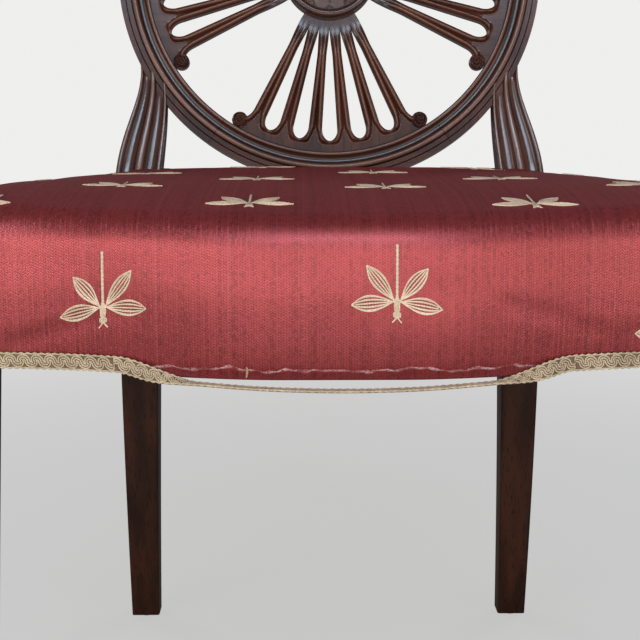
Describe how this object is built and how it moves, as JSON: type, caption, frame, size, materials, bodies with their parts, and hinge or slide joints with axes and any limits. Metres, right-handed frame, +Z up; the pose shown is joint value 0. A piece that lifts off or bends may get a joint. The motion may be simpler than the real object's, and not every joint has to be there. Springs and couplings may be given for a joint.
{
  "type": "wheel back dining chair",
  "caption": "Dining chair with a round wheel back of pierced palmettes, tapered legs and a stuffed, serpentine-fronted seat covered in patterned silk.",
  "frame": {"origin": "on the floor, under the middle of the chair's bounding box", "axes": "+Z up, -Y toward the chair's front, +X to the right when looking at its front"},
  "size_m": [0.6028, 0.5676, 0.891],
  "materials": {
    "mahogany": "satin polish",
    "frame_wood": "unfinished beech",
    "silk": "woven silk satin",
    "gimp": "scroll braid",
    "wadding": "cotton wadding",
    "stuffing": "hair stuffing",
    "jute": "plain woven jute",
    "dust_cloth": "black cotton",
    "steel": "bright"
  },
  "bodies": {
    "root": {"block_screw_front_left_1": "steel", "block_screw_front_left_2": "steel", "block_screw_front_right_1": "steel", "block_screw_front_right_2": "steel", "block_screw_rear_left_1": "steel", "block_screw_rear_left_2": "steel", "block_screw_rear_right_1": "steel", "block_screw_rear_right_2": "steel", "corner_block_front_left": "frame_wood", "corner_block_front_right": "frame_wood", "corner_block_rear_left": "frame_wood", "corner_block_rear_right": "frame_wood", "dowel_crest_left_1": "frame_wood", "dowel_crest_left_2": "frame_wood", "dowel_crest_right_1": "frame_wood", "dowel_crest_right_2": "frame_wood", "dowel_lower_left_1": "frame_wood", "dowel_lower_left_2": "frame_wood", "dowel_lower_right_1": "frame_wood", "dowel_lower_right_2": "frame_wood", "dust_cover": "dust_cloth", "front_leg_left": "mahogany", "front_leg_right": "mahogany", "front_rail": "frame_wood", "gimp_back": "gimp", "gimp_left": "gimp", "gimp_loose": "gimp", "gimp_right": "gimp", "glide_front_left": "steel", "glide_front_right": "steel", "glide_rear_left": "steel", "glide_rear_right": "steel", "hessian": "jute", "hoop_crest": "mahogany", "hoop_lower_rail": "mahogany", "hub": "mahogany", "hub_boss": "mahogany", "palmette_left": "mahogany", "palmette_lower": "mahogany", "palmette_right": "mahogany", "palmette_upper": "mahogany", "rear_post_left": "mahogany", "rear_post_right": "mahogany", "rear_rail": "frame_wood", "seat_cover": "silk", "seat_pad": "stuffing", "seat_wadding": "wadding", "side_rail_left": "frame_wood", "side_rail_right": "frame_wood", "webbing_crossways_1": "jute", "webbing_crossways_2": "jute", "webbing_crossways_3": "jute", "webbing_lengthways_1": "jute", "webbing_lengthways_2": "jute", "webbing_lengthways_3": "jute", "webbing_lengthways_4": "jute"}
  },
  "joints": []
}
